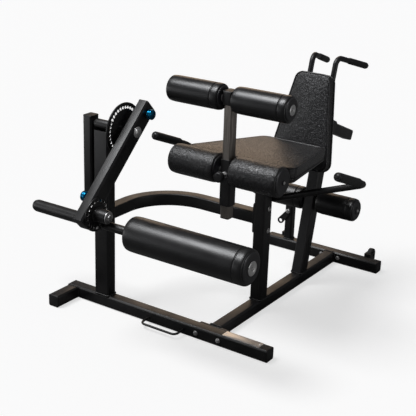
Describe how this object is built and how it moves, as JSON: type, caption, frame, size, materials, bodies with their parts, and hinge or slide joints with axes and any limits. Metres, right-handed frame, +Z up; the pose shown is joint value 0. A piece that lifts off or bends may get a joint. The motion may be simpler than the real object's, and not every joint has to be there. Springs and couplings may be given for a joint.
{
  "type": "leg extension machine",
  "caption": "Plate-loaded leg extension machine: tubular frame, padded seat and back rest, swinging lever with foam shin roller, foam thigh and knee rollers, side and rear handles.",
  "frame": {"origin": "middle of the front crossbeam's underside, on the floor below the lever's pivot line, in the machine's middle plane", "axes": "+Z up; +Y from the front crossbeam to the back rest, so a seated user faces -Y; +X towards the seat's side of the front crossbeam, away from the weight peg"},
  "size_m": [1.2926, 1.3797, 0.965],
  "materials": {
    "frame_paint": "black satin powder coat",
    "bare_steel": "brushed",
    "zinc": "bright zinc plate",
    "foam": "closed-cell foam with a smooth skin",
    "leather": "grained synthetic leather",
    "board": "plain board",
    "plastic": "moulded",
    "blue_knob": "blue anodised"
  },
  "bodies": {
    "frame": {"front_crossbeam": "frame_paint", "left_front_foot": "frame_paint", "spine_beam": "frame_paint", "rear_crossbeam": "frame_paint", "spine_flange": "frame_paint", "lever_upright": "frame_paint", "pivot_bushing": "frame_paint", "link_tube": "frame_paint", "link_plate": "frame_paint", "seat_post": "frame_paint", "back_post": "frame_paint", "seat_rail": "frame_paint", "storage_post": "frame_paint", "storage_hook": "frame_paint", "side_handle_tube": "frame_paint", "lift_handle": "frame_paint", "wheel_bracket_left": "frame_paint", "wheel_bracket_right": "frame_paint", "thigh_sleeve": "frame_paint", "slide_sleeve": "frame_paint", "flange_bolt_left": "zinc", "flange_bolt_right": "zinc", "thigh_pin_barrel": "zinc", "knee_axle_left": "zinc", "knee_axle_right": "zinc", "rear_axle": "zinc", "handle_grip_left": "foam", "handle_grip_right": "foam", "seat_cushion": "leather", "seat_board": "board"},
    "lever": {"weight_arm": "frame_paint", "weight_peg": "frame_paint", "start_disc": "frame_paint", "pivot_shaft": "zinc"},
    "roller_arm": {"roller_arm": "frame_paint", "hub_bolt": "zinc"},
    "roller_crank": {"crank_disc": "frame_paint", "crank_hub": "frame_paint", "roller_axle": "frame_paint"},
    "main_roller": {"main_roller": "foam"},
    "arm_pin": {"arm_pin": "blue_knob"},
    "crank_pin": {"crank_pin": "blue_knob"},
    "thigh_post": {"thigh_post": "bare_steel", "thigh_head": "frame_paint", "thigh_axle": "zinc"},
    "thigh_pin": {"thigh_pin": "plastic"},
    "thigh_roller_left": {"thigh_roller_left": "foam"},
    "thigh_roller_right": {"thigh_roller_right": "foam"},
    "knee_roller_left": {"knee_roller_left": "foam"},
    "knee_roller_right": {"knee_roller_right": "foam"},
    "rear_roller_left": {"rear_roller_left": "foam"},
    "rear_roller_right": {"rear_roller_right": "foam"},
    "backrest": {"slide_tube": "frame_paint", "back_board": "board", "back_pad": "leather", "top_handle_left": "frame_paint", "top_handle_right": "frame_paint"},
    "slide_pin": {"slide_pin": "plastic"},
    "wheel_left": {"transport_wheel_left": "plastic"},
    "wheel_right": {"transport_wheel_right": "plastic"}
  },
  "joints": [
    {"name": "lever_swing", "type": "hinge", "parent": "frame", "child": "lever", "pos_m": [0, 0, 0.744], "axis": [-1, 0, 0], "range_deg": [0, 90]},
    {"name": "roller_arm_start_angle", "type": "hinge", "parent": "lever", "child": "roller_arm", "pos_m": [0, 0, 0.744], "axis": [-1, 0, 0], "range_deg": [-20, 50]},
    {"name": "roller_crank_angle", "type": "hinge", "parent": "roller_arm", "child": "roller_crank", "pos_m": [0, -0.23516, 0.49078], "axis": [-1, 0, 0], "range_deg": [-80, 80]},
    {"name": "main_roller_spin", "type": "hinge", "parent": "roller_crank", "child": "main_roller", "pos_m": [0, -0.20716, 0.44477], "axis": [1, 0, 0], "continuous": true},
    {"name": "arm_pin_pull", "type": "slide", "parent": "roller_arm", "child": "arm_pin", "axis": [1, 0, 0], "range_m": [0, 0.012], "stiffness_N_per_m": 300, "springref_m": -0.01},
    {"name": "crank_pin_pull", "type": "slide", "parent": "roller_arm", "child": "crank_pin", "axis": [-1, 0, 0], "range_m": [0, 0.012], "stiffness_N_per_m": 300, "springref_m": -0.01},
    {"name": "thigh_post_height", "type": "slide", "parent": "frame", "child": "thigh_post", "axis": [0, 0, 1], "range_m": [-0.05, 0.1]},
    {"name": "thigh_pin_pull", "type": "slide", "parent": "frame", "child": "thigh_pin", "axis": [0, -1, 0], "range_m": [0, 0.012], "stiffness_N_per_m": 300, "springref_m": -0.01},
    {"name": "thigh_roller_left_spin", "type": "hinge", "parent": "thigh_post", "child": "thigh_roller_left", "pos_m": [0, 0.07, 0.917], "axis": [1, 0, 0], "continuous": true},
    {"name": "thigh_roller_right_spin", "type": "hinge", "parent": "thigh_post", "child": "thigh_roller_right", "pos_m": [0, 0.07, 0.917], "axis": [1, 0, 0], "continuous": true},
    {"name": "knee_roller_left_spin", "type": "hinge", "parent": "frame", "child": "knee_roller_left", "pos_m": [0, 0.07, 0.656], "axis": [1, 0, 0], "continuous": true},
    {"name": "knee_roller_right_spin", "type": "hinge", "parent": "frame", "child": "knee_roller_right", "pos_m": [0, 0.07, 0.656], "axis": [1, 0, 0], "continuous": true},
    {"name": "rear_roller_left_spin", "type": "hinge", "parent": "frame", "child": "rear_roller_left", "pos_m": [0, 0.744, 0.352], "axis": [1, 0, 0], "continuous": true},
    {"name": "rear_roller_right_spin", "type": "hinge", "parent": "frame", "child": "rear_roller_right", "pos_m": [0, 0.744, 0.352], "axis": [1, 0, 0], "continuous": true},
    {"name": "backrest_slide", "type": "slide", "parent": "frame", "child": "backrest", "axis": [0, 0.9272, -0.3746], "range_m": [-0.02, 0.05]},
    {"name": "slide_pin_pull", "type": "slide", "parent": "frame", "child": "slide_pin", "axis": [-1, 0, 0], "range_m": [0, 0.012], "stiffness_N_per_m": 300, "springref_m": -0.01},
    {"name": "wheel_left_spin", "type": "hinge", "parent": "frame", "child": "wheel_left", "pos_m": [-0.262, 1.038, 0.048], "axis": [1, 0, 0], "continuous": true},
    {"name": "wheel_right_spin", "type": "hinge", "parent": "frame", "child": "wheel_right", "pos_m": [0.161, 1.038, 0.048], "axis": [1, 0, 0], "continuous": true}
  ]
}
